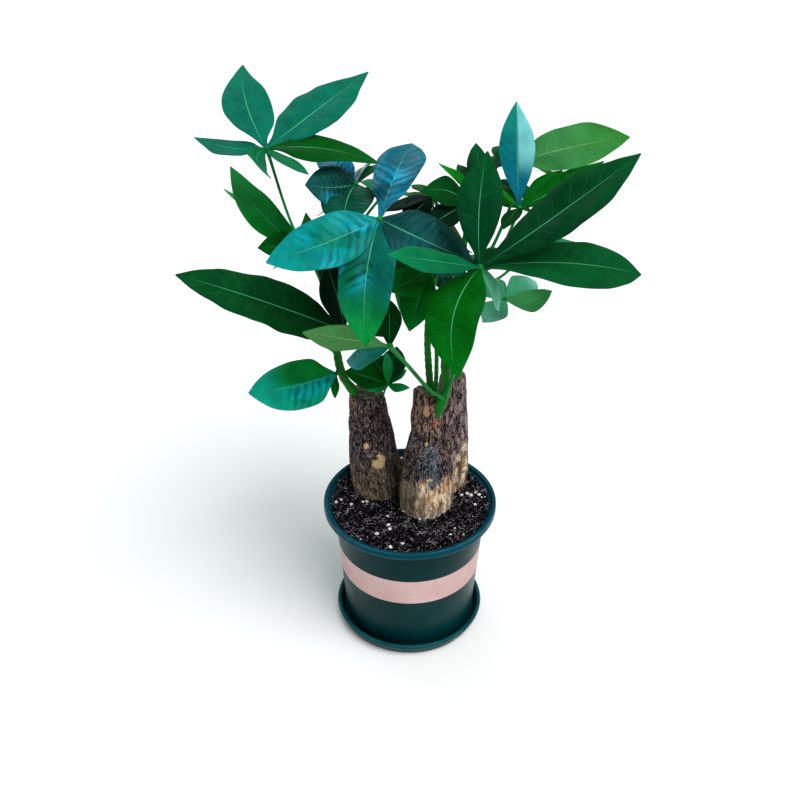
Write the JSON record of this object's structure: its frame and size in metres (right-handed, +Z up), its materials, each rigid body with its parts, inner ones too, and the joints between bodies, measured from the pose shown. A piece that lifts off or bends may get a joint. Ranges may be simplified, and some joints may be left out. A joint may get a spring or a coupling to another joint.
{
  "type": "potted money tree",
  "caption": "Money tree with thick cut trunks, slender green shoots and glossy hand-shaped leaves, planted in a round dark green nursery pot that stands on its saucer.",
  "frame": {"origin": "centre of the saucer's flat underside, on the surface that it stands on", "axes": "+Z up along the pot's axis, +Y to the back as the picture shows the plant, +X to its right"},
  "size_m": [0.3218, 0.2904, 0.4687],
  "materials": {
    "pot": "smooth moulded plastic, satin, dark blue-green, with a printed pale pink band around the pot's side",
    "soil": "moist crumbly potting mix with fibres and white grains",
    "bark": "rough fissured brown-grey bark with pale peeled patches near the soil",
    "shoot": "smooth green stem skin",
    "leaf": "glossy leaf, dark green above with a thin pale rib, paler and matt beneath"
  },
  "bodies": {
    "root": {"saucer": "pot", "pot": "pot", "soil": "soil", "trunk_left": "bark", "trunk_front": "bark", "trunk_back": "bark", "shoot_left": "shoot", "shoot_right": "shoot", "shoot_middle": "shoot", "shoot_thin": "shoot", "shoot_back": "shoot", "frond_upper_left": "leaf", "frond_far_left": "leaf", "frond_center": "leaf", "frond_inner_left": "leaf", "frond_long_leaf": "leaf", "frond_low_center": "leaf", "frond_low_left": "leaf", "frond_sprig": "leaf", "frond_right": "leaf", "frond_upper_right": "leaf", "frond_tip_right": "leaf", "frond_lower_right": "leaf", "frond_top_back": "leaf", "frond_inner_right": "leaf", "frond_inner_top": "leaf", "frond_inner_center": "leaf", "frond_under_center": "leaf", "frond_back_1": "leaf", "frond_back_2": "leaf", "frond_back_3": "leaf", "frond_back_4": "leaf", "frond_back_5": "leaf"}
  },
  "joints": []
}
